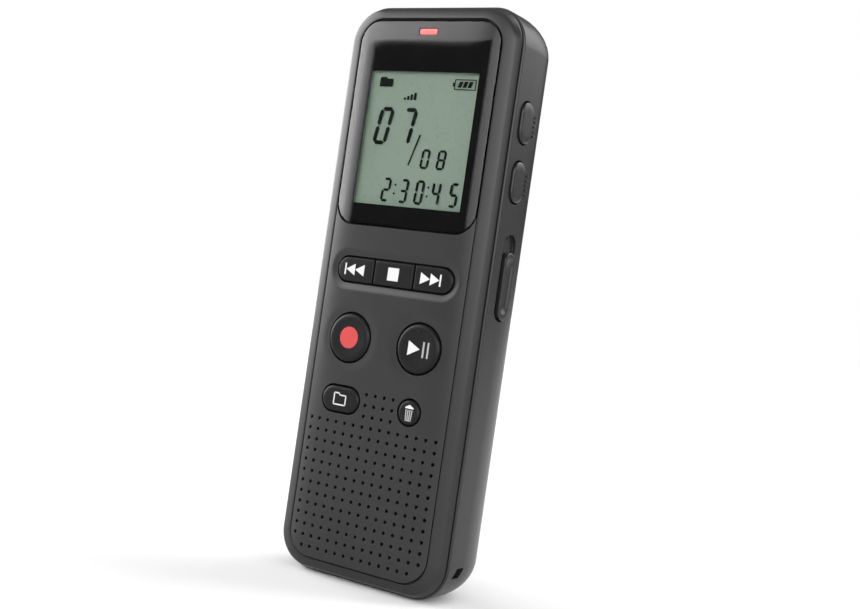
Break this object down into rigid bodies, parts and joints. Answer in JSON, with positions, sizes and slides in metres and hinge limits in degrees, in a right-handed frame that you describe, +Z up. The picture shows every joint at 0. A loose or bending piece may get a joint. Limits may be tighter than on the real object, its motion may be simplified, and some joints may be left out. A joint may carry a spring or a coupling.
{
  "type": "pocket voice recorder",
  "caption": "Slim pocket voice recorder with a display, front keys, a sound grille, side keys, a slide switch and a hinged battery door.",
  "frame": {"origin": "middle of the bottom end, which the recorder stands on", "axes": "+Z runs up the length, the display and keys face -Y, the side keys are on +X"},
  "size_m": [0.0381, 0.0194, 0.1079],
  "materials": {
    "shell": "fine matt texture",
    "key": "satin",
    "lens": "polished, printed black behind a clear window",
    "lcd": "satin polariser",
    "tray": "white moulding",
    "red": "clear red",
    "led": "moulded",
    "board": "solder mask",
    "film": "film",
    "chip": "moulded",
    "metal": "nickel plate",
    "screw": "zinc plate",
    "rubber": "matt",
    "cloth": "woven",
    "cell": "printed sleeve"
  },
  "bodies": {
    "case": {"front_cover": "shell", "rear_shell": "shell", "display_lens": "lens", "lcd_glass": "lcd", "lcd_tray": "tray", "light_guide": "red", "status_led": "led", "main_board": "board", "dome_sheet": "film", "speaker_cone": "film", "processor_chip": "chip", "memory_chip": "chip", "power_coil": "chip", "upper_side_switch": "chip", "lower_side_switch": "chip", "headphone_jack": "chip", "microphone_jack": "chip", "crystal_can": "metal", "slide_switch": "metal", "usb_socket": "metal", "microphone_capsule": "metal", "bridge_contact": "metal", "positive_contact": "metal", "negative_contact": "metal", "case_screw_1": "screw", "case_screw_2": "screw", "case_screw_3": "screw", "case_screw_4": "screw", "speaker_driver": "screw", "zebra_strip": "rubber", "microphone_boot": "rubber", "grille_cloth": "cloth", "left_cell": "cell", "right_cell": "cell"},
    "record_key_body": {"record_key": "key"},
    "play_key_body": {"play_key": "key"},
    "folder_key_body": {"folder_key": "key"},
    "delete_key_body": {"delete_key": "key"},
    "previous_key_body": {"previous_key": "key"},
    "stop_key_body": {"stop_key": "key"},
    "next_key_body": {"next_key": "key"},
    "upper_side_key_body": {"upper_side_key": "shell"},
    "lower_side_key_body": {"lower_side_key": "shell"},
    "slide_knob_body": {"slide_knob": "shell"},
    "battery_door_body": {"battery_door": "shell"}
  },
  "joints": [
    {"name": "previous_key_press", "type": "slide", "parent": "case", "child": "previous_key_body", "axis": [0, 1, 0], "range_m": [0, 0.00035], "stiffness_N_per_m": 300, "springref_m": -0.001},
    {"name": "stop_key_press", "type": "slide", "parent": "case", "child": "stop_key_body", "axis": [0, 1, 0], "range_m": [0, 0.00035], "stiffness_N_per_m": 300, "springref_m": -0.001},
    {"name": "next_key_press", "type": "slide", "parent": "case", "child": "next_key_body", "axis": [0, 1, 0], "range_m": [0, 0.00035], "stiffness_N_per_m": 300, "springref_m": -0.001},
    {"name": "record_key_press", "type": "slide", "parent": "case", "child": "record_key_body", "axis": [0, 1, 0], "range_m": [0, 0.00035], "stiffness_N_per_m": 300, "springref_m": -0.001},
    {"name": "play_key_press", "type": "slide", "parent": "case", "child": "play_key_body", "axis": [0, 1, 0], "range_m": [0, 0.00035], "stiffness_N_per_m": 300, "springref_m": -0.001},
    {"name": "folder_key_press", "type": "slide", "parent": "case", "child": "folder_key_body", "axis": [0, 1, 0], "range_m": [0, 0.00035], "stiffness_N_per_m": 300, "springref_m": -0.001},
    {"name": "delete_key_press", "type": "slide", "parent": "case", "child": "delete_key_body", "axis": [0, 1, 0], "range_m": [0, 0.00035], "stiffness_N_per_m": 300, "springref_m": -0.001},
    {"name": "upper_side_key_press", "type": "slide", "parent": "case", "child": "upper_side_key_body", "axis": [-1, 0, 0], "range_m": [0, 0.00035], "stiffness_N_per_m": 300, "springref_m": -0.001},
    {"name": "lower_side_key_press", "type": "slide", "parent": "case", "child": "lower_side_key_body", "axis": [-1, 0, 0], "range_m": [0, 0.00035], "stiffness_N_per_m": 300, "springref_m": -0.001},
    {"name": "slide_knob_travel", "type": "slide", "parent": "case", "child": "slide_knob_body", "axis": [0, 0, 1], "range_m": [0, 0.0026]},
    {"name": "battery_door_hinge", "type": "hinge", "parent": "case", "child": "battery_door_body", "pos_m": [0, 0.0095, 0.0085], "axis": [-1, 0, 0], "range_deg": [0, 70]}
  ]
}
